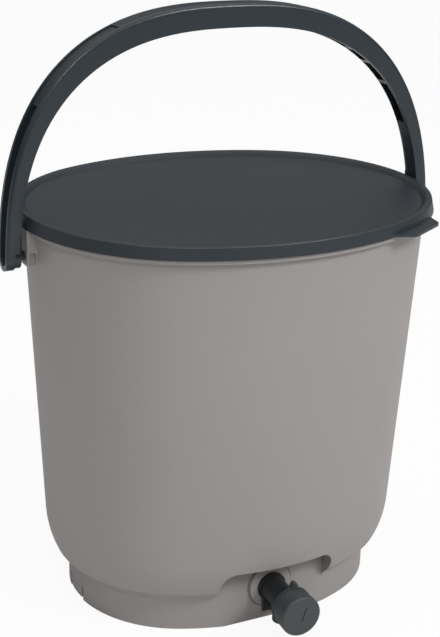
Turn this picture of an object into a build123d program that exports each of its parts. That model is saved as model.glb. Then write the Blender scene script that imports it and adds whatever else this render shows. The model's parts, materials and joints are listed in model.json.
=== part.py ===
from build123d import *
import os
from math import atan2, ceil, cos, degrees, hypot, radians, sin, sqrt, tan

# Frame: +Z up, origin on the floor under the middle of the bin, +X along the handle's pivot axis,
# -Y towards the tap. All lengths are millimetres.

# Plan of the bin: an oval of four tangent arcs whose centres are the same at every height
END_CENTRE = 35.5
SIDE_CENTRE = 79.0
ARC_DIFFERENCE = hypot(END_CENTRE, SIDE_CENTRE)
RIGHT_ANGLE = 90.0
HALF_TURN = 180.0

# Bin body. Half lengths run along X, from the middle to the outside of the wall.
WALL = 2.6
FOOT_HALF_LENGTH = 122.8
FOOT_HEIGHT = 25.0
SHOULDER_OUT = 10.4
SHOULDER_SLOPE = 45.0
SHOULDER_EDGE_RADIUS = 6.0
FOOT_FILLET = 8.0
CURVE_TOP = 64.0
WALL_DRAFT = 3.05
COLLAR_HEIGHT = 300.4
COLLAR_OUT = 4.6
COLLAR_BAND = 3.0
COLLAR_EDGE_RADIUS = 0.7
RIM_OUT = 3.2
RIM_BAND = 2.2
MOUTH_HALF_LENGTH = 153.1
FLOOR_LEVEL = 15.6
RIM_EDGE_RADIUS = 1.2

# Tap niche in the front of the foot, with its flat panel and the round seat of the tap
NICHE_HALF_WIDTH = 47.0
NICHE_TOP = 53.4
NICHE_CORNER_RADIUS = 12.0
PANEL_DISTANCE = 90.8
TAP_LEVEL = 28.4
SEAT_RADIUS = 17.4
SEAT_OUT = 3.2
SEAT_EDGE_RADIUS = 1.2
SEAT_GROOVE_WIDTH = 1.4
SEAT_GROOVE_DEPTH = 0.9
SEAT_POCKET_RADIUS = 12.6

# Flexing tongues between two slots, at both ends of the foot
TONGUE_WIDTH = 22.0
TONGUE_SLOT_WIDTH = 2.0
TONGUE_SLOT_HEIGHT = 12.4
TONGUE_LIFT = 1.6

# Handle ears, which hang from the collar
EAR_OUT = 6.0
EAR_WIDTH = 18.0
EAR_BELOW_PIVOT = 7.0
EAR_CORNER_RADIUS = 6.0
EAR_EDGE_RADIUS = 1.0
EAR_POCKET_WIDTH = 4.6
EAR_POCKET_DEPTH = 3.0
EAR_POCKET_INSET = 1.6
EAR_POCKET_RISE = 4.0
EAR_POCKET_DROP = 16.0
PIVOT_BELOW_COLLAR = 17.9
PIN_RADIUS = 3.5
PIN_CLEARANCE = 0.06
PIN_LENGTH_IN_EAR = 6.0
PIN_END_GAP = 0.4

# Handle: an arch between two superellipses, thin at the legs and thick at the grip
ARCH_CENTRE_BELOW_PIVOT = 22.0
ARCH_POWER = 2.585
ARCH_INNER_RISE = 175.0
ARCH_STEP = 7.5
LEG_GAP = 5.9
LEG_THICKNESS = 9.5
GRIP_THICKNESS = 17.1
HANDLE_WIDTH = 19.5
HANDLE_OUTER_EDGE_RADIUS = 3.0
HANDLE_INNER_EDGE_RADIUS = 5.5
HANDLE_LEAN = 1.7
CHANNEL_WALL = 3.6
CHANNEL_DEPTH = 4.0
CHANNEL_TOP_ANGLE = 41.0
GROOVE_WALL = 2.6
GROOVE_DEPTH = 0.9
GROOVE_TOP_ANGLE = 64.0
POCKET_WALL = 4.0
POCKET_DEPTH = 4.8
POCKET_FIRST_ANGLE = 32.1
POCKET_SWEEPS = (11.3, 6.1, 4.8, 10.2)
POCKET_RIB_SWEEP = 1.1
LEG_LID_GAP = 1.9
LEG_PAD_RADIUS = 4.5
LEDGE_ABOVE_PIVOT = 4.2
LEDGE_DEPTH = 3.0
LEG_BOSS_RADIUS = 8.5
LEG_BOSS_GAP = 4.1

# Lid
LID_OVERHANG = 7.0
LID_SKIRT_HEIGHT = 9.1
LID_SKIRT_TAPER = 1.9
LID_WALL = 2.0
LID_EDGE_RADIUS = 1.4
LID_CREST_WIDTH = 4.2
LID_CREST_RADIUS = 1.2
LID_STEP_WIDTH = 1.6
LID_STEP_DROP = 1.2
LID_PANEL_DROP = 3.2
PLUG_CLEARANCE = 1.0
PLUG_DEPTH = 13.0
TAB_ANGLE = -59.0
TAB_REACH = 9.2
TAB_TIP_WIDTH = 36.0
TAB_ROOT_WIDTH = 64.0
TAB_THICKNESS = 2.0
TAB_CORNER_RADIUS = 7.0
TAB_ROOT = 8.0

# Lid seal, a flat rubber ring between the rim and the underside of the lid
SEAL_GAP = 0.3
SEAL_THICKNESS = 1.9
SEAL_SIDE_GAP = 0.5
SEAL_WIDTH = 5.6

# Strainer that keeps the waste above the liquid
STRAINER_LEVEL = 57.2
STRAINER_THICKNESS = 2.4
STRAINER_WALL_GAP = 1.6
STRAINER_RIM_HEIGHT = 6.0
STRAINER_RIM_WALL = 1.8
STRAINER_HOLE_RADIUS = 2.6
STRAINER_HOLE_PITCH = 20.0
STRAINER_EDGE_MARGIN = 12.0
STRAINER_WEB = 3.0
STRAINER_LEG_RADIUS = 4.5
STRAINER_LEG_GAP = 0.3
STRAINER_LEG_X = 65.0
STRAINER_LEG_Y = 48.0
STRAINER_GRIP_LENGTH = 26.0
STRAINER_GRIP_WIDTH = 12.0
STRAINER_GRIP_X = 38.0

# Tap, on an axis parallel to Y. Distances are measured from the middle of the bin towards the front.
NECK_RADIUS = 8.0
NECK_CLEARANCE = 0.3
NECK_BORE_RADIUS = 5.5
NECK_INNER_END = 80.5
GASKET_RADIUS = 11.5
GASKET_THICKNESS = 2.2
WASHER_RADIUS = 12.2
WASHER_THICKNESS = 1.5
NUT_ACROSS_FLATS = 20.0
NUT_THICKNESS = 6.5
NUT_FLANGE_RADIUS = 12.0
NUT_FLANGE_THICKNESS = 2.0
THREAD_CLEARANCE = 0.05
GUARD_THICKNESS = 2.5
GUARD_WIDTH = 17.3
GUARD_BOTTOM = 10.7
BARREL_RADIUS = 9.7
BARREL_BORE_RADIUS = 7.7
BARREL_LENGTH = 26.5
BARREL_WEB = 2.2
SPOUT_RADIUS = 7.2
SPOUT_BORE_RADIUS = 4.8
SPOUT_OFFSET = 13.6
SPOUT_BOTTOM = 9.0
SPOUT_LENGTH = 9.2
SPOUT_COLLAR = 1.4
SPOUT_EDGE_RADIUS = 0.8
PLUG_RUNNING_CLEARANCE = 0.05
PLUG_END_GAP = 0.4
PLUG_BORE_RADIUS = 4.0
PLUG_PORT_RADIUS = 3.6
PLUG_BORE_BEYOND_PORT = 4.6
ORING_WIRE_RADIUS = 0.85
ORING_CLEARANCE = 0.05
ORING_FROM_PORT = 7.0
STEM_RADIUS = 4.2
STEM_FLAT = 3.2
STEM_LENGTH = 9.0
STEM_CLEARANCE = 0.05
STEM_END_GAP = 0.3
KNOB_RADIUS = 16.0
KNOB_BACK_RADIUS = 15.4
KNOB_LENGTH = 16.7
KNOB_WALL = 1.8
KNOB_FACE = 2.6
KNOB_BOSS_RADIUS = 6.4
KNOB_EDGE_RADIUS = 1.8
KNOB_BEAD_OUT = 0.6
KNOB_BEAD_WIDTH = 1.4
KNOB_GAP = 0.4
LUG_ANGLE = 84.0
LUG_REACH = 19.6
LUG_WIDTH = 7.0
LUG_TIP_WIDTH = 2.4
LUG_BEHIND_KNOB = 3.0
LUG_LENGTH = 6.0
MARK_LENGTH = 11.0
MARK_WIDTH = 0.9
MARK_DEPTH = 0.6
MARK_ANGLE = 70.0
MARK_RIGHT = 2.1
MARK_UP = 1.7

SMALL = 0.01
BEYOND = 400.0

# Sizes that follow from the ones above
WALL_FOOT_LENGTH = MOUTH_HALF_LENGTH - (COLLAR_HEIGHT - CURVE_TOP) * tan(radians(WALL_DRAFT))
BAND_TOP = COLLAR_HEIGHT + COLLAR_BAND
RIM_HEIGHT = BAND_TOP + RIM_BAND
PIVOT_LEVEL = COLLAR_HEIGHT - PIVOT_BELOW_COLLAR
EAR_FACE = MOUTH_HALF_LENGTH + EAR_OUT
LID_HALF_LENGTH = MOUTH_HALF_LENGTH + LID_OVERHANG
SEAT_DISTANCE = PANEL_DISTANCE + SEAT_OUT
SEAT_INNER_DISTANCE = SEAT_DISTANCE - WALL
GASKET_FRONT = SEAT_DISTANCE + GASKET_THICKNESS
GUARD_FRONT = GASKET_FRONT + GUARD_THICKNESS
BARREL_FRONT = GUARD_FRONT + BARREL_LENGTH
SPOUT_DISTANCE = GUARD_FRONT + SPOUT_OFFSET
KNOB_BACK = BARREL_FRONT + KNOB_GAP
KNOB_FRONT = KNOB_BACK + KNOB_LENGTH


def oval(half_length):
    """The bin's plan curve where it reaches half_length along X, as a filled sketch."""
    end_radius = half_length - END_CENTRE
    side_radius = end_radius + ARC_DIFFERENCE
    corner_x = END_CENTRE + end_radius * END_CENTRE / ARC_DIFFERENCE
    corner_y = end_radius * SIDE_CENTRE / ARC_DIFFERENCE
    side_y = side_radius - SIDE_CENTRE
    with BuildSketch() as plan:
        with BuildLine():
            ThreePointArc((corner_x, -corner_y), (half_length, 0), (corner_x, corner_y))
            ThreePointArc((corner_x, corner_y), (0, side_y), (-corner_x, corner_y))
            ThreePointArc((-corner_x, corner_y), (-half_length, 0), (-corner_x, -corner_y))
            ThreePointArc((-corner_x, -corner_y), (0, -side_y), (corner_x, -corner_y))
        make_face()
    return plan.sketch


def half_length_through(x, y):
    """The half length of the oval that passes through a point of the plan."""
    if abs(y) * END_CENTRE < (abs(x) - END_CENTRE) * SIDE_CENTRE:
        return END_CENTRE + hypot(abs(x) - END_CENTRE, y)
    return END_CENTRE - ARC_DIFFERENCE + hypot(x, abs(y) + SIDE_CENTRE)


def turn_round_oval(section, mode=Mode.ADD):
    """Turns a wall section, drawn as half length across and height up, round the four arcs."""
    half_end = degrees(atan2(SIDE_CENTRE, END_CENTRE))
    half_side = RIGHT_ANGLE - half_end
    side_shift = END_CENTRE - ARC_DIFFERENCE
    arcs = (
        ((END_CENTRE, 0), -half_end, 2 * half_end, END_CENTRE),
        ((0, -SIDE_CENTRE), RIGHT_ANGLE - half_side, 2 * half_side, side_shift),
        ((-END_CENTRE, 0), HALF_TURN - half_end, 2 * half_end, END_CENTRE),
        ((0, SIDE_CENTRE), HALF_TURN + RIGHT_ANGLE - half_side, 2 * half_side, side_shift),
    )
    for (centre_x, centre_y), start, sweep_angle, shift in arcs:
        outward = Vector(cos(radians(start)), sin(radians(start)), 0)
        plane = Plane(origin=(centre_x, centre_y, 0), x_dir=outward, z_dir=outward.cross(Vector(0, 0, 1)))
        wall = plane * (Pos(-shift, 0) * section)
        revolve(wall, axis=Axis((centre_x, centre_y, 0), (0, 0, 1)), revolution_arc=sweep_angle, mode=mode)


def bin_form(inset, bottom, top):
    """The filled form of the bin, drawn in by inset from its outside, as a section for the oval."""
    core = FOOT_HALF_LENGTH / 2
    draft = tan(radians(WALL_DRAFT))
    shoulder_rise = SHOULDER_OUT * tan(radians(SHOULDER_SLOPE))
    with BuildSketch() as section:
        with BuildLine():
            foot = FOOT_HALF_LENGTH - inset
            foot_top = (foot, FOOT_HEIGHT + inset * tan(radians(SHOULDER_SLOPE / 2)))
            shoulder = (foot + SHOULDER_OUT, foot_top[1] + shoulder_rise)
            wall_foot = (WALL_FOOT_LENGTH - inset, CURVE_TOP)
            wall_top = (WALL_FOOT_LENGTH - inset + (top - CURVE_TOP) * draft, top)
            Polyline((core, bottom), (foot, bottom), foot_top, shoulder)
            TangentArc(wall_foot, shoulder, tangent=(-draft, -1))
            Polyline(wall_foot, wall_top, (core, top), (core, bottom))
        make_face()
        fillet(section.vertices().sort_by_distance(foot_top)[0], radius=FOOT_FILLET)
        fillet(section.vertices().sort_by_distance(shoulder)[0], radius=SHOULDER_EDGE_RADIUS)
    return section.sketch, core


def front_plane(distance):
    """A plane across the tap's axis, facing the front, with its origin on that axis."""
    return Plane(origin=(0, -distance, TAP_LEVEL), x_dir=(1, 0, 0), z_dir=(0, -1, 0))


def tap_niche(grow):
    """All that lies before the foot's wall and its flat panel in the tap's niche, grown by grow."""
    with BuildPart() as foot_column:
        with BuildSketch():
            add(oval(FOOT_HALF_LENGTH - grow))
        extrude(amount=BEYOND, both=True)
        split(bisect_by=Plane.XZ.offset(PANEL_DISTANCE - grow), keep=Keep.BOTTOM)
    with BuildPart() as hollow:
        with BuildSketch(Plane.XZ) as mouth:
            with Locations((0, NICHE_TOP + grow)):
                Rectangle(2 * (NICHE_HALF_WIDTH + grow), BEYOND, align=(Align.CENTER, Align.MAX))
            fillet(mouth.vertices().group_by(Axis.Y)[-1], radius=NICHE_CORNER_RADIUS)
        extrude(amount=BEYOND)
        add(foot_column.part, mode=Mode.SUBTRACT)
    return hollow.part


# Bin body: one injection-moulded shell with its foot, tap niche, collar and handle ears
outer_form, form_core = bin_form(0, 0, COLLAR_HEIGHT)
inner_form, inner_core = bin_form(WALL, FLOOR_LEVEL, RIM_HEIGHT + WALL)
ear_bottom = PIVOT_LEVEL - EAR_BELOW_PIVOT

with BuildPart() as vessel_core:
    turn_round_oval(inner_form)
    with BuildSketch(Plane.XY.offset(FLOOR_LEVEL)):
        add(oval(inner_core + SMALL))
    extrude(amount=RIM_HEIGHT + WALL - FLOOR_LEVEL)
    add(tap_niche(WALL), mode=Mode.SUBTRACT)

with BuildPart() as foot_hollow:
    with BuildSketch():
        add(oval(FOOT_HALF_LENGTH - WALL))
    extrude(amount=FLOOR_LEVEL - WALL)
    split(bisect_by=Plane.XZ.offset(PANEL_DISTANCE - WALL), keep=Keep.BOTTOM)

# one ear at each end takes the handle's pivot pin
with BuildPart() as ear:
    with BuildSketch(Plane.YZ.offset(EAR_FACE)) as ear_outline:
        with Locations((0, ear_bottom)):
            Rectangle(EAR_WIDTH, BAND_TOP - ear_bottom, align=(Align.CENTER, Align.MIN))
        fillet(ear_outline.vertices().group_by(Axis.Y)[0], radius=EAR_CORNER_RADIUS)
    extrude(amount=-(EAR_OUT + WALL + EAR_OUT))
    fillet(ear.faces().sort_by(Axis.X)[-1].edges(), radius=EAR_EDGE_RADIUS)
    for pocket_floor in (EAR_WIDTH / 2 - EAR_POCKET_DEPTH, -EAR_WIDTH / 2 - EAR_POCKET_DEPTH):
        with BuildSketch(Plane.XZ.offset(pocket_floor)):
            with Locations((EAR_FACE - EAR_POCKET_INSET - EAR_POCKET_WIDTH / 2,
                            PIVOT_LEVEL + EAR_POCKET_RISE - EAR_POCKET_DROP / 2)):
                SlotOverall(EAR_POCKET_DROP, EAR_POCKET_WIDTH, rotation=RIGHT_ANGLE)
        extrude(amount=2 * EAR_POCKET_DEPTH, mode=Mode.SUBTRACT)

with BuildPart() as bin_body:
    turn_round_oval(outer_form)
    with BuildSketch():
        add(oval(form_core + SMALL))
    extrude(amount=COLLAR_HEIGHT)
    # collar band under the lid, and the rim bead above it that the lid covers
    with BuildSketch(Plane.XY.offset(COLLAR_HEIGHT)):
        add(oval(MOUTH_HALF_LENGTH + COLLAR_OUT))
    extrude(amount=COLLAR_BAND)
    fillet(bin_body.edges().group_by(Axis.Z)[-1], radius=COLLAR_EDGE_RADIUS)
    with BuildSketch(Plane.XY.offset(BAND_TOP)):
        add(oval(MOUTH_HALF_LENGTH + RIM_OUT))
    extrude(amount=RIM_BAND)
    fillet(bin_body.edges().group_by(Axis.Z)[-1], radius=RIM_EDGE_RADIUS)
    # in the niche the shoulder is cut back to the foot's own wall, and that wall to a flat panel
    add(tap_niche(0), mode=Mode.SUBTRACT)
    with BuildSketch(front_plane(PANEL_DISTANCE)):
        Circle(SEAT_RADIUS + SEAT_GROOVE_WIDTH)
    extrude(amount=-SEAT_GROOVE_DEPTH, mode=Mode.SUBTRACT)
    with BuildSketch(front_plane(PANEL_DISTANCE - SEAT_GROOVE_DEPTH)):
        Circle(SEAT_RADIUS)
    extrude(amount=SEAT_OUT + SEAT_GROOVE_DEPTH)
    seat_edges = bin_body.edges().filter_by(GeomType.CIRCLE)
    fillet(seat_edges.sort_by_distance((0, -SEAT_DISTANCE, TAP_LEVEL + SEAT_RADIUS))[0],
           radius=SEAT_EDGE_RADIUS)
    add(ear.part)
    mirror(ear.part, about=Plane.YZ)
    add(vessel_core.part, mode=Mode.SUBTRACT)
    add(foot_hollow.part, mode=Mode.SUBTRACT)
    for side in (-1, 1):
        with BuildSketch(Plane.YZ.offset(side * EAR_FACE)):
            with Locations((0, PIVOT_LEVEL)):
                Circle(PIN_RADIUS + PIN_CLEARANCE)
        extrude(amount=-side * (PIN_LENGTH_IN_EAR + PIN_END_GAP), mode=Mode.SUBTRACT)
        with BuildSketch(Plane.YZ.offset(side * FOOT_HALF_LENGTH)):
            with Locations((-(TONGUE_WIDTH + TONGUE_SLOT_WIDTH) / 2, 0),
                           ((TONGUE_WIDTH + TONGUE_SLOT_WIDTH) / 2, 0)):
                Rectangle(TONGUE_SLOT_WIDTH, 2 * TONGUE_SLOT_HEIGHT)
            Rectangle(TONGUE_WIDTH, 2 * TONGUE_LIFT)
        extrude(amount=2 * WALL, both=True, mode=Mode.SUBTRACT)
    # pocket for the nut and hole for the tap's neck
    with BuildSketch(front_plane(PANEL_DISTANCE - WALL)):
        Circle(SEAT_POCKET_RADIUS)
    extrude(amount=SEAT_OUT, mode=Mode.SUBTRACT)
    with BuildSketch(front_plane(SEAT_INNER_DISTANCE - WALL)):
        Circle(NECK_RADIUS + NECK_CLEARANCE)
    extrude(amount=3 * WALL, mode=Mode.SUBTRACT)

bin_body.part.label = "bin_body"


# Lid: a moulded cover with a hollow raised rim round a recessed panel, a skirt and a plug wall
crest = LID_HALF_LENGTH - LID_SKIRT_TAPER
step_in = crest - LID_CREST_WIDTH
underside = RIM_HEIGHT + SEAL_GAP + SEAL_THICKNESS
panel_level = underside + LID_WALL
lid_top = panel_level + LID_PANEL_DROP
skirt_bottom = lid_top - LID_SKIRT_HEIGHT
panel_length = step_in - 2 * LID_STEP_WIDTH
groove_roof = lid_top - LID_WALL
plug_outer = MOUTH_HALF_LENGTH - WALL - PLUG_CLEARANCE
plug_inner = plug_outer - LID_WALL
plate_core = plug_inner - LID_WALL

with BuildSketch() as lid_section:
    with BuildLine():
        Polyline(
            (LID_HALF_LENGTH, skirt_bottom),
            (crest, lid_top),
            (step_in, lid_top),
            (step_in - LID_STEP_WIDTH, lid_top - LID_STEP_DROP),
            (panel_length, panel_level),
            (plate_core, panel_level),
            (plate_core, underside),
            (plug_inner, underside),
            (plug_inner, underside - PLUG_DEPTH),
            (plug_outer, underside - PLUG_DEPTH),
            (plug_outer, underside),
            (step_in, underside),
            (step_in, groove_roof),
            (crest - LID_WALL, groove_roof),
            (LID_HALF_LENGTH - LID_WALL, skirt_bottom),
            close=True,
        )
    make_face()
    fillet(lid_section.vertices().sort_by_distance((crest, lid_top))[0], radius=LID_EDGE_RADIUS)
    fillet(lid_section.vertices().sort_by_distance((step_in, lid_top))[0], radius=LID_CREST_RADIUS)

# the pull tab, a thin lip on the lower edge of the skirt
tab_outward = (cos(radians(TAB_ANGLE)), sin(radians(TAB_ANGLE)), 0)
with BuildPart() as tab:
    with BuildSketch(Plane(origin=(END_CENTRE, 0, skirt_bottom), x_dir=tab_outward)) as tab_outline:
        with Locations((LID_HALF_LENGTH - END_CENTRE, 0)):
            Polygon((-TAB_ROOT, -TAB_ROOT_WIDTH / 2), (TAB_REACH, -TAB_TIP_WIDTH / 2),
                    (TAB_REACH, TAB_TIP_WIDTH / 2), (-TAB_ROOT, TAB_ROOT_WIDTH / 2), align=None)
        fillet(tab_outline.vertices().group_by(Axis.X)[-1], radius=TAB_CORNER_RADIUS)
    extrude(amount=TAB_THICKNESS)
    with BuildSketch(Plane.XY.offset(skirt_bottom)):
        add(oval(LID_HALF_LENGTH - LID_WALL / 2))
    extrude(amount=TAB_THICKNESS, mode=Mode.SUBTRACT)

with BuildPart() as lid:
    turn_round_oval(lid_section.sketch)
    with BuildSketch(Plane.XY.offset(underside)):
        add(oval(plate_core + SMALL))
    extrude(amount=LID_WALL)
    add(tab.part)
lid.part.label = "lid"


# Lid seal: a rubber ring under the lid that meets the rim of the bin
seal_inner = plug_outer + SEAL_SIDE_GAP
with BuildPart() as lid_seal:
    with BuildSketch(Plane.XY.offset(RIM_HEIGHT + SEAL_GAP)):
        add(oval(seal_inner + SEAL_WIDTH))
        add(oval(seal_inner), mode=Mode.SUBTRACT)
    extrude(amount=SEAL_THICKNESS)
lid_seal.part.label = "lid_seal"


# Handle: one moulded arch with an open channel down each leg and finger pockets under the grip
leg_inner = EAR_FACE + LEG_GAP
INNER_EDGE = (leg_inner, ARCH_INNER_RISE)
OUTER_EDGE = (leg_inner + LEG_THICKNESS, ARCH_INNER_RISE + GRIP_THICKNESS)
lean = radians(HANDLE_LEAN)
handle_front = Plane(origin=(0, 0, PIVOT_LEVEL), x_dir=(1, 0, 0), z_dir=(0, -cos(lean), sin(lean)))
handle_across = Plane(origin=(0, 0, PIVOT_LEVEL), x_dir=(1, 0, 0), z_dir=(0, sin(lean), cos(lean)))


def handle_side(distance):
    """A plane across the pivot axis, with its Y up along the leaning handle."""
    return Plane(origin=(distance, 0, PIVOT_LEVEL), x_dir=(0, cos(lean), -sin(lean)), z_dir=(1, 0, 0))


def arch_point(angle, edge, inset):
    """The point of one edge of the arch at an angle above the arch's centre, from the pivot."""
    across = abs(cos(radians(angle))) / (edge[0] - inset)
    up = abs(sin(radians(angle))) / (edge[1] - inset)
    reach = (across**ARCH_POWER + up**ARCH_POWER) ** (-1 / ARCH_POWER)
    return (reach * cos(radians(angle)), reach * sin(radians(angle)) - ARCH_CENTRE_BELOW_PIVOT)


def arch_band(start, end, outer, inner):
    """The face between two curves that follow the arch from one angle to another."""
    steps = ceil((end - start) / ARCH_STEP)
    angles = [start + (end - start) * step / steps for step in range(steps + 1)]
    with BuildSketch() as band:
        with BuildLine():
            upper = Spline(*[arch_point(angle, *outer) for angle in angles])
            lower = Spline(*[arch_point(angle, *inner) for angle in angles])
            Line(upper @ 0, lower @ 0)
            Line(upper @ 1, lower @ 1)
        make_face()
    return band.sketch


def leg_outline(inset):
    """A leg seen from the side: a round end about the pivot, and straight above it."""
    with BuildSketch() as outline:
        Circle(HANDLE_WIDTH / 2 - inset)
        Rectangle(HANDLE_WIDTH - 2 * inset, BEYOND, align=(Align.CENTER, Align.MIN))
    return outline.sketch


with BuildPart() as leg_cuts:
    with BuildSketch(handle_front):
        add(arch_band(0, CHANNEL_TOP_ANGLE, (OUTER_EDGE, -CHANNEL_DEPTH), (OUTER_EDGE, CHANNEL_DEPTH)))
    extrude(amount=HANDLE_WIDTH, both=True)
    with BuildSketch(handle_side(0)):
        add(leg_outline(CHANNEL_WALL))
    extrude(amount=BEYOND, both=True, mode=Mode.INTERSECT)
    with BuildSketch(handle_front):
        add(arch_band(CHANNEL_TOP_ANGLE, GROOVE_TOP_ANGLE, (OUTER_EDGE, -CHANNEL_DEPTH),
                      (OUTER_EDGE, GROOVE_DEPTH)))
    extrude(amount=HANDLE_WIDTH / 2 - GROOVE_WALL, both=True)
    with BuildSketch(handle_front):
        pocket_start = POCKET_FIRST_ANGLE
        for sweep_angle in POCKET_SWEEPS:
            add(arch_band(pocket_start, pocket_start + sweep_angle, (INNER_EDGE, -POCKET_DEPTH),
                          (INNER_EDGE, POCKET_DEPTH)))
            pocket_start += sweep_angle + POCKET_RIB_SWEEP
    extrude(amount=HANDLE_WIDTH / 2 - POCKET_WALL, both=True)

# the inner side of a leg stands upright beside the lid and ends in a ledge over the pivot, where a
# boss stands off from the ear and carries the pivot pin
pad_face = LID_HALF_LENGTH + LEG_LID_GAP
pad_rise = ARCH_INNER_RISE * (1 - (pad_face / leg_inner) ** ARCH_POWER) ** (1 / ARCH_POWER)
boss_root = leg_inner + LEDGE_DEPTH
boss_face = EAR_FACE + LEG_BOSS_GAP
pin_end = EAR_FACE - PIN_LENGTH_IN_EAR
with BuildPart() as leg_foot:
    with BuildSketch(handle_across.offset(LEDGE_ABOVE_PIVOT)) as pad:
        with Locations((pad_face, 0)):
            Rectangle(boss_root - pad_face, HANDLE_WIDTH, align=(Align.MIN, Align.CENTER))
        fillet(pad.vertices().group_by(Axis.X)[0], radius=LEG_PAD_RADIUS)
    extrude(amount=pad_rise - ARCH_CENTRE_BELOW_PIVOT - LEDGE_ABOVE_PIVOT)
    with BuildSketch(handle_side(boss_face)):
        Circle(LEG_BOSS_RADIUS)
    extrude(amount=boss_root + CHANNEL_WALL / 2 - boss_face)
    with BuildSketch(handle_side(pin_end)):
        Circle(PIN_RADIUS)
    extrude(amount=boss_root - pin_end)

with BuildPart() as handle:
    with BuildSketch(handle_front):
        add(arch_band(0, HALF_TURN, (OUTER_EDGE, 0), (INNER_EDGE, 0)))
    extrude(amount=HANDLE_WIDTH / 2, both=True)
    long_edges = handle.edges().filter_by(GeomType.BSPLINE).sort_by(SortBy.LENGTH)
    fillet(long_edges[:2], radius=HANDLE_INNER_EDGE_RADIUS)
    long_edges = handle.edges().filter_by(GeomType.BSPLINE).sort_by(SortBy.LENGTH)
    fillet(long_edges[-2:], radius=HANDLE_OUTER_EDGE_RADIUS)
    with BuildSketch(handle_side(0)):
        add(leg_outline(0))
    extrude(amount=BEYOND, both=True, mode=Mode.INTERSECT)
    with BuildSketch(handle_across.offset(LEDGE_ABOVE_PIVOT)):
        Rectangle(2 * boss_root, BEYOND)
    extrude(amount=-BEYOND, mode=Mode.SUBTRACT)
    add(leg_foot.part)
    mirror(leg_foot.part, about=Plane.YZ)
    add(leg_cuts.part, mode=Mode.SUBTRACT)
    mirror(leg_cuts.part, about=Plane.YZ, mode=Mode.SUBTRACT)
handle.part.label = "handle"


# Strainer: a pierced plate with an upstand, on four legs above the floor
plate_top = STRAINER_LEVEL + STRAINER_THICKNESS
plate_form, strainer_core = bin_form(WALL + STRAINER_WALL_GAP, FLOOR_LEVEL, RIM_HEIGHT)
well_form = bin_form(WALL + STRAINER_WALL_GAP + STRAINER_RIM_WALL, FLOOR_LEVEL, RIM_HEIGHT)

with BuildSketch() as well:
    add(well_form[0])
    with Locations((0, plate_top)):
        Rectangle(BEYOND, BEYOND, align=(Align.CENTER, Align.MIN), mode=Mode.INTERSECT)

with BuildSketch() as strainer_section:
    add(plate_form)
    with Locations((0, STRAINER_LEVEL)):
        Rectangle(BEYOND, STRAINER_RIM_HEIGHT, align=(Align.CENTER, Align.MIN), mode=Mode.INTERSECT)
    add(well.sketch, mode=Mode.SUBTRACT)

plate_length = strainer_section.sketch.bounding_box().max.X
clear_of_leg = STRAINER_LEG_RADIUS + STRAINER_HOLE_RADIUS + STRAINER_WEB
clear_of_grip = STRAINER_HOLE_RADIUS + STRAINER_WEB
row_pitch = STRAINER_HOLE_PITCH * sqrt(3) / 2
rows = ceil(plate_length / row_pitch)
drain_points = []
for row in range(-rows, rows + 1):
    for column in range(-rows, rows + 1):
        x = (column + row % 2 / 2) * STRAINER_HOLE_PITCH
        y = row * row_pitch
        inside = half_length_through(x, y) < plate_length - STRAINER_EDGE_MARGIN
        beside_leg = hypot(abs(x) - STRAINER_LEG_X, abs(y) - STRAINER_LEG_Y) > clear_of_leg
        beside_grip = (abs(abs(x) - STRAINER_GRIP_X) > STRAINER_GRIP_WIDTH / 2 + clear_of_grip
                       or abs(y) > STRAINER_GRIP_LENGTH / 2 + clear_of_grip)
        if inside and beside_leg and beside_grip:
            drain_points.append((x, y))

with BuildPart() as strainer:
    turn_round_oval(strainer_section.sketch)
    with BuildSketch(Plane.XY.offset(STRAINER_LEVEL)):
        add(oval(strainer_core + SMALL))
    extrude(amount=STRAINER_THICKNESS)
    with BuildSketch(Plane.XY.offset(FLOOR_LEVEL + STRAINER_LEG_GAP)):
        with GridLocations(2 * STRAINER_LEG_X, 2 * STRAINER_LEG_Y, 2, 2):
            Circle(STRAINER_LEG_RADIUS)
    extrude(amount=STRAINER_LEVEL - FLOOR_LEVEL - STRAINER_LEG_GAP)
    with BuildSketch(Plane.XY.offset(STRAINER_LEVEL)):
        with Locations(*drain_points):
            Circle(STRAINER_HOLE_RADIUS)
        with Locations((-STRAINER_GRIP_X, 0), (STRAINER_GRIP_X, 0)):
            SlotOverall(STRAINER_GRIP_LENGTH, STRAINER_GRIP_WIDTH, rotation=RIGHT_ANGLE)
    extrude(amount=STRAINER_THICKNESS, mode=Mode.SUBTRACT)
strainer.part.label = "strainer"


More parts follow.
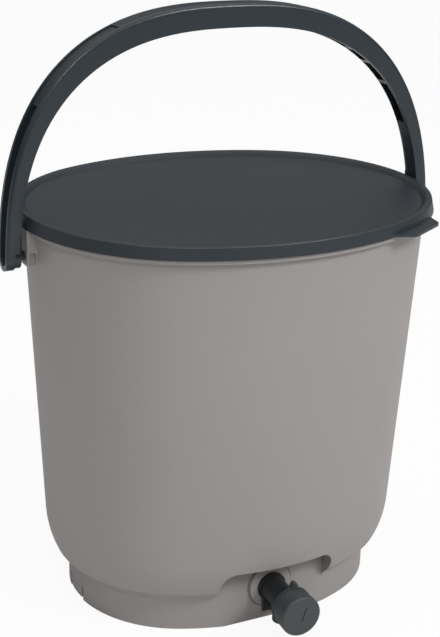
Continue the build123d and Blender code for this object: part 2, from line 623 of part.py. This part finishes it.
# Tap body: neck, guard plate, barrel and spout in one moulding
barrel_floor = GUARD_FRONT + BARREL_WEB
with BuildPart() as tap_body:
    with BuildSketch(front_plane(NECK_INNER_END)):
        Circle(NECK_RADIUS)
    extrude(amount=GASKET_FRONT - NECK_INNER_END)
    with BuildSketch(front_plane(GASKET_FRONT)):
        Circle(BARREL_RADIUS)
        Rectangle(GUARD_WIDTH, TAP_LEVEL - GUARD_BOTTOM, align=(Align.CENTER, Align.MAX))
    extrude(amount=GUARD_THICKNESS)
    with BuildSketch(front_plane(GUARD_FRONT)):
        Circle(BARREL_RADIUS)
    extrude(amount=BARREL_LENGTH)
    with BuildSketch(Plane.XY.offset(SPOUT_BOTTOM)):
        with Locations((0, -SPOUT_DISTANCE)):
            Circle(SPOUT_RADIUS)
    extrude(amount=TAP_LEVEL - SPOUT_BOTTOM)
    fillet(tap_body.edges().group_by(Axis.Z)[0], radius=SPOUT_EDGE_RADIUS)
    with BuildSketch(Plane.XY.offset(SPOUT_BOTTOM + SPOUT_LENGTH)):
        with Locations((0, -SPOUT_DISTANCE)):
            Circle(SPOUT_RADIUS + SPOUT_COLLAR)
    extrude(amount=TAP_LEVEL - SPOUT_BOTTOM - SPOUT_LENGTH)
    with BuildSketch(front_plane(barrel_floor)):
        Circle(BARREL_BORE_RADIUS)
    extrude(amount=BARREL_FRONT - barrel_floor, mode=Mode.SUBTRACT)
    with BuildSketch(front_plane(NECK_INNER_END)):
        Circle(NECK_BORE_RADIUS)
    extrude(amount=barrel_floor - NECK_INNER_END, mode=Mode.SUBTRACT)
    with BuildSketch(Plane.XY.offset(SPOUT_BOTTOM)):
        with Locations((0, -SPOUT_DISTANCE)):
            Circle(SPOUT_BORE_RADIUS)
    extrude(amount=TAP_LEVEL - SPOUT_BOTTOM, mode=Mode.SUBTRACT)
tap_body.part.label = "tap_body"


def washer(inner_face, thickness, outer_radius):
    """A flat ring round the tap's neck, whose face nearer the middle of the bin is at inner_face."""
    with BuildPart() as ring:
        with BuildSketch(front_plane(inner_face)):
            Circle(outer_radius)
            Circle(NECK_RADIUS + THREAD_CLEARANCE, mode=Mode.SUBTRACT)
        extrude(amount=thickness)
    return ring.part


# Tap gasket between the guard plate and the seat, and the washer inside the wall
with BuildPart() as tap_gasket:
    add(washer(SEAT_DISTANCE, GASKET_THICKNESS, GASKET_RADIUS))
tap_gasket.part.label = "tap_gasket"

washer_inner = SEAT_INNER_DISTANCE - WASHER_THICKNESS
with BuildPart() as tap_washer:
    add(washer(washer_inner, WASHER_THICKNESS, WASHER_RADIUS))
tap_washer.part.label = "tap_washer"

# Tap nut: a hexagon with a flange that presses the washer on the wall
with BuildPart() as tap_nut:
    add(washer(washer_inner - NUT_FLANGE_THICKNESS, NUT_FLANGE_THICKNESS, NUT_FLANGE_RADIUS))
    with BuildSketch(front_plane(washer_inner - NUT_THICKNESS)):
        RegularPolygon(NUT_ACROSS_FLATS / 2, 6, major_radius=False)
        Circle(NECK_RADIUS + THREAD_CLEARANCE, mode=Mode.SUBTRACT)
    extrude(amount=NUT_THICKNESS - NUT_FLANGE_THICKNESS)
tap_nut.part.label = "tap_nut"


# Tap plug: a bored plug whose side port meets the spout when the knob is turned a quarter turn
plug_end = barrel_floor + PLUG_END_GAP
plug_radius = BARREL_BORE_RADIUS - PLUG_RUNNING_CLEARANCE
oring_radius = plug_radius - ORING_WIRE_RADIUS
groove_width = 2 * (ORING_WIRE_RADIUS + ORING_CLEARANCE)


def stem_outline(grow):
    """The D-shaped end of the plug that drives the knob."""
    with BuildSketch() as outline:
        Circle(STEM_RADIUS + grow)
        with Locations((0, STEM_FLAT + grow)):
            Rectangle(BEYOND, STEM_RADIUS, align=(Align.CENTER, Align.MIN), mode=Mode.SUBTRACT)
    return outline.sketch


with BuildPart() as tap_plug:
    with BuildSketch(front_plane(plug_end)):
        Circle(plug_radius)
    extrude(amount=BARREL_FRONT - plug_end)
    with BuildSketch(front_plane(BARREL_FRONT)):
        add(stem_outline(0))
    extrude(amount=STEM_LENGTH)
    with BuildSketch(front_plane(plug_end)):
        Circle(PLUG_BORE_RADIUS)
    extrude(amount=SPOUT_DISTANCE + PLUG_BORE_BEYOND_PORT - plug_end, mode=Mode.SUBTRACT)
    with BuildSketch(Plane.YZ):
        with Locations((-SPOUT_DISTANCE, TAP_LEVEL)):
            Circle(PLUG_PORT_RADIUS)
    extrude(amount=BARREL_RADIUS, mode=Mode.SUBTRACT)
    for offset_from_port in (-ORING_FROM_PORT, ORING_FROM_PORT):
        with BuildSketch(front_plane(SPOUT_DISTANCE + offset_from_port - groove_width / 2)):
            Circle(BARREL_RADIUS)
            Circle(oring_radius - ORING_WIRE_RADIUS - ORING_CLEARANCE, mode=Mode.SUBTRACT)
        extrude(amount=groove_width, mode=Mode.SUBTRACT)
tap_plug.part.label = "tap_plug"


def plug_seal(distance):
    """An O-ring on the plug, at this distance from the middle of the bin."""
    with BuildPart() as ring:
        with BuildSketch(Plane.YZ):
            with Locations((-distance, TAP_LEVEL + oring_radius)):
                Circle(ORING_WIRE_RADIUS)
        revolve(axis=Axis((0, 0, TAP_LEVEL), (0, 1, 0)))
    return ring.part


# O-rings on both sides of the plug's port
with BuildPart() as plug_seal_inner:
    add(plug_seal(SPOUT_DISTANCE - ORING_FROM_PORT))
plug_seal_inner.part.label = "plug_seal_inner"

with BuildPart() as plug_seal_outer:
    add(plug_seal(SPOUT_DISTANCE + ORING_FROM_PORT))
plug_seal_outer.part.label = "plug_seal_outer"


# Tap knob: a hollow cap with a boss for the plug's stem, a lug at its back and a line on its face
tap_side = Plane(origin=(0, 0, TAP_LEVEL), x_dir=(0, -1, 0), z_dir=(-1, 0, 0))
face_back = KNOB_FRONT - KNOB_FACE
with BuildPart() as tap_knob:
    with BuildSketch(tap_side) as knob_section:
        with BuildLine():
            Polyline(
                (KNOB_BACK, 0),
                (KNOB_BACK, KNOB_BOSS_RADIUS),
                (face_back, KNOB_BOSS_RADIUS),
                (face_back, KNOB_RADIUS - KNOB_WALL),
                (KNOB_BACK, KNOB_BACK_RADIUS - KNOB_WALL),
                (KNOB_BACK, KNOB_BACK_RADIUS + KNOB_BEAD_OUT),
                (KNOB_BACK + KNOB_BEAD_WIDTH, KNOB_BACK_RADIUS + KNOB_BEAD_OUT),
                (KNOB_BACK + KNOB_BEAD_WIDTH, KNOB_BACK_RADIUS),
                (KNOB_FRONT, KNOB_RADIUS),
                (KNOB_FRONT, 0),
                close=True,
            )
        make_face()
        fillet(knob_section.vertices().sort_by_distance((KNOB_FRONT, KNOB_RADIUS))[0],
               radius=KNOB_EDGE_RADIUS)
    revolve(axis=Axis((0, 0, TAP_LEVEL), (0, 1, 0)))
    lug_root = KNOB_BACK_RADIUS - KNOB_WALL
    with BuildSketch(front_plane(KNOB_BACK - LUG_BEHIND_KNOB)):
        with PolarLocations(lug_root, 1, start_angle=LUG_ANGLE):
            Polygon((0, -LUG_WIDTH / 2), (LUG_REACH - lug_root, -LUG_TIP_WIDTH / 2),
                    (LUG_REACH - lug_root, LUG_TIP_WIDTH / 2), (0, LUG_WIDTH / 2), align=None)
    extrude(amount=LUG_LENGTH)
    with BuildSketch(front_plane(KNOB_BACK)):
        add(stem_outline(STEM_CLEARANCE))
    extrude(amount=STEM_LENGTH - KNOB_GAP + STEM_END_GAP, mode=Mode.SUBTRACT)
    with BuildSketch(front_plane(KNOB_FRONT - MARK_DEPTH)):
        with Locations((MARK_RIGHT, MARK_UP)):
            SlotOverall(MARK_LENGTH, MARK_WIDTH, rotation=MARK_ANGLE)
    extrude(amount=2 * MARK_DEPTH, mode=Mode.SUBTRACT)
tap_knob.part.label = "tap_knob"


os.makedirs("parts", exist_ok=True)
for piece in (bin_body, lid, lid_seal, handle, strainer, tap_body, tap_gasket, tap_washer, tap_nut,
              tap_plug, plug_seal_inner, plug_seal_outer, tap_knob):
    export_step(piece.part, f"parts/{piece.part.label}.step")
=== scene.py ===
import json
from math import radians

import bpy
from mathutils import Matrix, Vector

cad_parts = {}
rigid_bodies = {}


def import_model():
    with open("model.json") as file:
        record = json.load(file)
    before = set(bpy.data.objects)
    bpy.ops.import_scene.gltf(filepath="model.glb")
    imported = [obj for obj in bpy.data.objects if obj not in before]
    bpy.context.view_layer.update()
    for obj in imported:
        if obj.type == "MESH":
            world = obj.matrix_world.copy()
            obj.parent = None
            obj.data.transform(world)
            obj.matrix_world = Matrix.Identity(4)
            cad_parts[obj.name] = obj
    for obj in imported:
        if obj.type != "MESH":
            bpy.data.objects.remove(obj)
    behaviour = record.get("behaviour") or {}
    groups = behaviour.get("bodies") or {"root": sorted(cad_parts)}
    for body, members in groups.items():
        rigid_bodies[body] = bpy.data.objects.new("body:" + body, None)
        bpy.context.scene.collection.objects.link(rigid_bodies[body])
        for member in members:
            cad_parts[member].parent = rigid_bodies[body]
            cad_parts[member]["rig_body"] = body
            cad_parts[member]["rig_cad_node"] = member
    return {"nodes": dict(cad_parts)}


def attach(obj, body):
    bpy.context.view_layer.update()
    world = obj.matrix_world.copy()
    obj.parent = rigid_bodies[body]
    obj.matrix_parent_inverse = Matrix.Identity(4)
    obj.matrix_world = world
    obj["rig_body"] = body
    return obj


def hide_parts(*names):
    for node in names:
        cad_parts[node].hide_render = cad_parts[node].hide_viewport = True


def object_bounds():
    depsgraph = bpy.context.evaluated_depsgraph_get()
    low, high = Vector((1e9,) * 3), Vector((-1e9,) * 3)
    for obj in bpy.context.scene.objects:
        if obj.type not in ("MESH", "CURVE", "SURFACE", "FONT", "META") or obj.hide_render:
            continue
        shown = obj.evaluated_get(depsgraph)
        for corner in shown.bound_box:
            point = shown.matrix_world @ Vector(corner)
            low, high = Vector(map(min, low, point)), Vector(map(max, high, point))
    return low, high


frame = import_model()
cad_low, cad_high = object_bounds()

# Studio: a pale floor that runs out of sight, soft lamps high in front of the bin on its right
# and left and one over it, a sky that brightens upwards, and the camera, which looks slightly
# down on the tap side.
CAMERA_PLACE = (-0.45665, -0.91810, 0.59290)
CAMERA_AZIMUTH = radians(26.445)
CAMERA_YAW = 0.00240
CAMERA_PITCH = radians(20.350)
CAMERA_ROLL = 0.02598
CAMERA_LENS = 80.145
CAMERA_SENSOR = 36.0
WHITE = (1.0, 1.0, 1.0, 1.0)
SKY_LOW_HEIGHT = 0.1
SKY_HIGH_HEIGHT = 0.75
SKY_LOW_STRENGTH = 0.07
SKY_HIGH_STRENGTH = 0.64
FLOOR_SIZE = 30.0
FLOOR_COLOUR = (0.86, 0.86, 0.86, 1.0)
FLOOR_WHITE_SHARE = 0.93


def node_tree_of(material):
    """Empties a material's node tree and returns it with its output node."""
    material.use_nodes = True
    tree = material.node_tree
    tree.nodes.clear()
    return tree, tree.nodes.new("ShaderNodeOutputMaterial")


def link_all(tree, pairs):
    """Links outputs to inputs, in the order given."""
    for source, target in pairs:
        tree.links.new(source, target)


def soft_lamp(name, place, aim, size, power):
    """An area lamp at a place, turned towards a point."""
    bpy.ops.object.light_add(type="AREA", location=place)
    lamp = bpy.context.object
    lamp.name = name
    lamp.data.shape = "RECTANGLE"
    lamp.data.size, lamp.data.size_y = size
    lamp.data.energy = power
    lamp.rotation_euler = (Vector(aim) - Vector(place)).to_track_quat("-Z", "Y").to_euler()
    return lamp


bpy.ops.object.camera_add(location=CAMERA_PLACE)
camera = bpy.context.object
camera.name = "camera"
turn = (Matrix.Rotation(CAMERA_YAW - CAMERA_AZIMUTH, 4, "Z")
        @ Matrix.Rotation(radians(90) - CAMERA_PITCH, 4, "X")
        @ Matrix.Rotation(CAMERA_ROLL, 4, "Z"))
camera.rotation_euler = turn.to_euler()
camera.data.lens = CAMERA_LENS
camera.data.sensor_width = CAMERA_SENSOR
camera.data.sensor_fit = "AUTO"
bpy.context.scene.camera = camera
bpy.context.scene.view_settings.view_transform = "Standard"

bin_middle = (cad_low + cad_high) / 2
soft_lamp("key_lamp", place=(1.0, -1.72, 1.8), aim=bin_middle, size=(0.55, 0.55), power=27.5)
soft_lamp("fill_lamp", place=(-0.75, -1.9, 1.75), aim=bin_middle, size=(0.55, 0.55), power=11.0)
soft_lamp("top_lamp", place=(0.0, 0.3, 2.2), aim=bin_middle, size=(2.0, 1.4), power=6.5)

world = bpy.data.worlds.new("studio_world")
bpy.context.scene.world = world
world.use_nodes = True
world_tree = world.node_tree
world_tree.nodes.clear()
world_out = world_tree.nodes.new("ShaderNodeOutputWorld")
seen_sky = world_tree.nodes.new("ShaderNodeBackground")
seen_sky.inputs["Color"].default_value = WHITE
lit_sky = world_tree.nodes.new("ShaderNodeBackground")
lit_sky.inputs["Color"].default_value = WHITE
sky_way = world_tree.nodes.new("ShaderNodeTexCoord")
sky_parts = world_tree.nodes.new("ShaderNodeSeparateXYZ")
sky_rise = world_tree.nodes.new("ShaderNodeMapRange")
sky_rise.interpolation_type = "SMOOTHSTEP"
sky_rise.inputs["From Min"].default_value = SKY_LOW_HEIGHT
sky_rise.inputs["From Max"].default_value = SKY_HIGH_HEIGHT
sky_rise.inputs["To Min"].default_value = SKY_LOW_STRENGTH
sky_rise.inputs["To Max"].default_value = SKY_HIGH_STRENGTH
sky_mix = world_tree.nodes.new("ShaderNodeMixShader")
sky_path = world_tree.nodes.new("ShaderNodeLightPath")
link_all(world_tree, (
    (sky_way.outputs["Generated"], sky_parts.inputs[0]),
    (sky_parts.outputs["Z"], sky_rise.inputs["Value"]),
    (sky_rise.outputs["Result"], lit_sky.inputs["Strength"]),
    (sky_path.outputs["Is Camera Ray"], sky_mix.inputs["Fac"]),
    (lit_sky.outputs[0], sky_mix.inputs[1]),
    (seen_sky.outputs[0], sky_mix.inputs[2]),
    (sky_mix.outputs[0], world_out.inputs["Surface"]),
))

bpy.ops.mesh.primitive_plane_add(size=FLOOR_SIZE, location=(0, 0, cad_low.z))
floor = bpy.context.object
floor.name = "floor"
bpy.ops.object.transform_apply(location=True, rotation=True, scale=True)
floor_finish = bpy.data.materials.new("pale_floor")
floor_tree, floor_out = node_tree_of(floor_finish)
floor_matt = floor_tree.nodes.new("ShaderNodeBsdfDiffuse")
floor_matt.inputs["Color"].default_value = FLOOR_COLOUR
floor_glow = floor_tree.nodes.new("ShaderNodeEmission")
floor_glow.inputs["Color"].default_value = WHITE
floor_glow.inputs["Strength"].default_value = 1.0
floor_mix = floor_tree.nodes.new("ShaderNodeMixShader")
floor_path = floor_tree.nodes.new("ShaderNodeLightPath")
floor_share = floor_tree.nodes.new("ShaderNodeMath")
floor_share.operation = "MULTIPLY"
floor_share.inputs[1].default_value = FLOOR_WHITE_SHARE
link_all(floor_tree, (
    (floor_path.outputs["Is Camera Ray"], floor_share.inputs[0]),
    (floor_share.outputs[0], floor_mix.inputs["Fac"]),
    (floor_matt.outputs[0], floor_mix.inputs[1]),
    (floor_glow.outputs[0], floor_mix.inputs[2]),
    (floor_mix.outputs[0], floor_out.inputs["Surface"]),
))
floor.data.materials.append(floor_finish)


# Bin body: one injection-moulded shell of filled polypropylene in a warm grey, with the fine
# matt grain of a spark-eroded mould on its outside.
BODY_COLOUR = (0.300, 0.280, 0.272, 1.0)
GRAIN_DETAIL = 3.0
CLOUD_SCALE = 9.0
CLOUD_DETAIL = 4.0
CLOUD_LOW = 0.3
CLOUD_HIGH = 0.7
SMOOTH_ANGLE = radians(32)
MERGE_DISTANCE = 1e-6

moulded_finish = bpy.data.node_groups.new("moulded_finish", "ShaderNodeTree")
sockets = moulded_finish.interface
sockets.new_socket("Place", in_out="INPUT", socket_type="NodeSocketVector")
sockets.new_socket("Colour", in_out="INPUT", socket_type="NodeSocketColor")
sockets.new_socket("Roughness", in_out="INPUT", socket_type="NodeSocketFloat")
sockets.new_socket("Grain", in_out="INPUT", socket_type="NodeSocketFloat")
sockets.new_socket("Mottle", in_out="INPUT", socket_type="NodeSocketFloat")
sockets.new_socket("Colour", in_out="OUTPUT", socket_type="NodeSocketColor")
sockets.new_socket("Roughness", in_out="OUTPUT", socket_type="NodeSocketFloat")
sockets.new_socket("Height", in_out="OUTPUT", socket_type="NodeSocketFloat")
group_in = moulded_finish.nodes.new("NodeGroupInput")
group_out = moulded_finish.nodes.new("NodeGroupOutput")
grain_noise = moulded_finish.nodes.new("ShaderNodeTexNoise")
grain_noise.inputs["Detail"].default_value = GRAIN_DETAIL
cloud_noise = moulded_finish.nodes.new("ShaderNodeTexNoise")
cloud_noise.inputs["Scale"].default_value = CLOUD_SCALE
cloud_noise.inputs["Detail"].default_value = CLOUD_DETAIL
cloud_range = moulded_finish.nodes.new("ShaderNodeMapRange")
cloud_range.inputs["From Min"].default_value = CLOUD_LOW
cloud_range.inputs["From Max"].default_value = CLOUD_HIGH
cloud_range.inputs["To Min"].default_value = -1.0
cloud_range.inputs["To Max"].default_value = 1.0
cloud_share = moulded_finish.nodes.new("ShaderNodeMath")
cloud_share.operation = "MULTIPLY"
cloud_value = moulded_finish.nodes.new("ShaderNodeMath")
cloud_value.operation = "ADD"
cloud_value.inputs[1].default_value = 1.0
tinted = moulded_finish.nodes.new("ShaderNodeHueSaturation")
gloss = moulded_finish.nodes.new("ShaderNodeMath")
gloss.operation = "MULTIPLY"
link_all(moulded_finish, (
    (group_in.outputs["Place"], grain_noise.inputs["Vector"]),
    (group_in.outputs["Grain"], grain_noise.inputs["Scale"]),
    (group_in.outputs["Place"], cloud_noise.inputs["Vector"]),
    (cloud_noise.outputs["Fac"], cloud_range.inputs["Value"]),
    (cloud_range.outputs["Result"], cloud_share.inputs[0]),
    (group_in.outputs["Mottle"], cloud_share.inputs[1]),
    (cloud_share.outputs[0], cloud_value.inputs[0]),
    (cloud_value.outputs[0], tinted.inputs["Value"]),
    (group_in.outputs["Colour"], tinted.inputs["Color"]),
    (group_in.outputs["Roughness"], gloss.inputs[0]),
    (cloud_value.outputs[0], gloss.inputs[1]),
    (tinted.outputs["Color"], group_out.inputs["Colour"]),
    (gloss.outputs[0], group_out.inputs["Roughness"]),
    (grain_noise.outputs["Fac"], group_out.inputs["Height"]),
))


def moulded_plastic(name, colour, roughness, grain, depth, mottle):
    """A moulded plastic with a fine grain and a faint mottle in its colour and its gloss."""
    material = bpy.data.materials.new(name)
    tree, output = node_tree_of(material)
    surface = tree.nodes.new("ShaderNodeBsdfPrincipled")
    place = tree.nodes.new("ShaderNodeTexCoord")
    finish = tree.nodes.new("ShaderNodeGroup")
    finish.node_tree = moulded_finish
    finish.inputs["Colour"].default_value = colour
    finish.inputs["Roughness"].default_value = roughness
    finish.inputs["Grain"].default_value = grain
    finish.inputs["Mottle"].default_value = mottle
    relief = tree.nodes.new("ShaderNodeBump")
    relief.inputs["Strength"].default_value = 1.0
    relief.inputs["Distance"].default_value = depth
    link_all(tree, (
        (place.outputs["Object"], finish.inputs["Place"]),
        (finish.outputs["Colour"], surface.inputs["Base Color"]),
        (finish.outputs["Roughness"], surface.inputs["Roughness"]),
        (finish.outputs["Height"], relief.inputs["Height"]),
        (relief.outputs["Normal"], surface.inputs["Normal"]),
        (surface.outputs["BSDF"], output.inputs["Surface"]),
    ))
    return material


def only_this(obj):
    """Selects one object and makes it the active one."""
    bpy.ops.object.select_all(action="DESELECT")
    obj.select_set(True)
    bpy.context.view_layer.objects.active = obj


def dressed(node, body, finish, name, smooth_angle=SMOOTH_ANGLE):
    """A welded, smoothly shaded copy of a CAD node that stands for it."""
    only_this(frame["nodes"][node])
    bpy.ops.object.duplicate()
    piece = bpy.context.object
    piece.parent = None
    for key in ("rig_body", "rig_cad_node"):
        del piece[key]
    piece.name = name
    piece.data.name = name
    if piece.data.has_custom_normals:
        bpy.ops.mesh.customdata_custom_splitnormals_clear()
    bpy.ops.object.mode_set(mode="EDIT")
    bpy.ops.mesh.select_all(action="SELECT")
    bpy.ops.mesh.remove_doubles(threshold=MERGE_DISTANCE)
    bpy.ops.object.mode_set(mode="OBJECT")
    bpy.ops.object.shade_smooth_by_angle(angle=smooth_angle)
    bpy.ops.object.modifier_add(type="WEIGHTED_NORMAL")
    piece.modifiers[-1].keep_sharp = True
    bpy.ops.object.modifier_apply(modifier=piece.modifiers[-1].name)
    piece.data.materials.clear()
    piece.data.materials.append(finish)
    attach(piece, body)
    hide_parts(node)
    return piece


body_plastic = moulded_plastic(
    "body_plastic", colour=BODY_COLOUR, roughness=0.50, grain=1400.0, depth=0.00005, mottle=0.015)
dressed("bin_body", "bin", body_plastic, "bin_shell")


# Lid: one moulded cover in dark slate polypropylene, a little smoother than the bin, with a
# raised rim, a recessed panel and a pull tab. It sits on the bin's rim and lifts straight off.
LID_COLOUR = (0.020, 0.027, 0.033, 1.0)
CREST_SMOOTH_ANGLE = radians(44)
lid_plastic = moulded_plastic(
    "lid_plastic", colour=LID_COLOUR, roughness=0.43, grain=1500.0, depth=0.00004, mottle=0.05)
dressed("lid", "lid", lid_plastic, "lid_cover", CREST_SMOOTH_ANGLE)


# Handle: a moulded arch in the same dark slate plastic, from a smoother mould, so that it is
# glossier than the lid. It snaps into the ears by two pins.
HANDLE_COLOUR = (0.018, 0.026, 0.033, 1.0)
handle_plastic = moulded_plastic(
    "handle_plastic", colour=HANDLE_COLOUR, roughness=0.30, grain=1500.0, depth=0.00003, mottle=0.05)
dressed("handle", "handle", handle_plastic, "carrying_handle")


# Strainer: a pierced plate of dark plastic with a low upstand and four legs, which stands on the
# floor of the bin and keeps the waste above the liquid.
STRAINER_COLOUR = (0.035, 0.038, 0.040, 1.0)
strainer_plastic = moulded_plastic(
    "strainer_plastic", colour=STRAINER_COLOUR, roughness=0.5, grain=1200.0, depth=0.00004, mottle=0.05)
dressed("strainer", "strainer", strainer_plastic, "drain_plate")


# Tap: the body, nut and plug are moulded in black plastic and the knob in dark slate. The body
# is clamped through the bin's wall by the nut, and the knob drives the plug inside the barrel.
TAP_COLOUR = (0.016, 0.019, 0.021, 1.0)
KNOB_COLOUR = (0.045, 0.052, 0.056, 1.0)
tap_plastic = moulded_plastic(
    "tap_plastic", colour=TAP_COLOUR, roughness=0.42, grain=1800.0, depth=0.00002, mottle=0.05)
knob_plastic = moulded_plastic(
    "knob_plastic", colour=KNOB_COLOUR, roughness=0.48, grain=1800.0, depth=0.00003, mottle=0.05)
dressed("tap_body", "bin", tap_plastic, "tap_barrel")
dressed("tap_nut", "bin", tap_plastic, "tap_clamp_nut")
dressed("tap_plug", "valve", tap_plastic, "tap_core")
dressed("tap_knob", "valve", knob_plastic, "tap_turning_knob")


# Seals: soft black rubber rings, moulded. Two lie round the tap's neck outside and inside the
# wall, two sit in the plug's grooves and one lies between the lid and the rim.
RUBBER_COLOUR = (0.010, 0.010, 0.010, 1.0)
seal_rubber = moulded_plastic(
    "seal_rubber", colour=RUBBER_COLOUR, roughness=0.62, grain=900.0, depth=0.00002, mottle=0.08)
dressed("tap_gasket", "bin", seal_rubber, "tap_outer_gasket")
dressed("tap_washer", "bin", seal_rubber, "tap_inner_washer")
dressed("plug_seal_inner", "valve", seal_rubber, "core_ring_inner")
dressed("plug_seal_outer", "valve", seal_rubber, "core_ring_outer")
dressed("lid_seal", "lid", seal_rubber, "lid_ring")
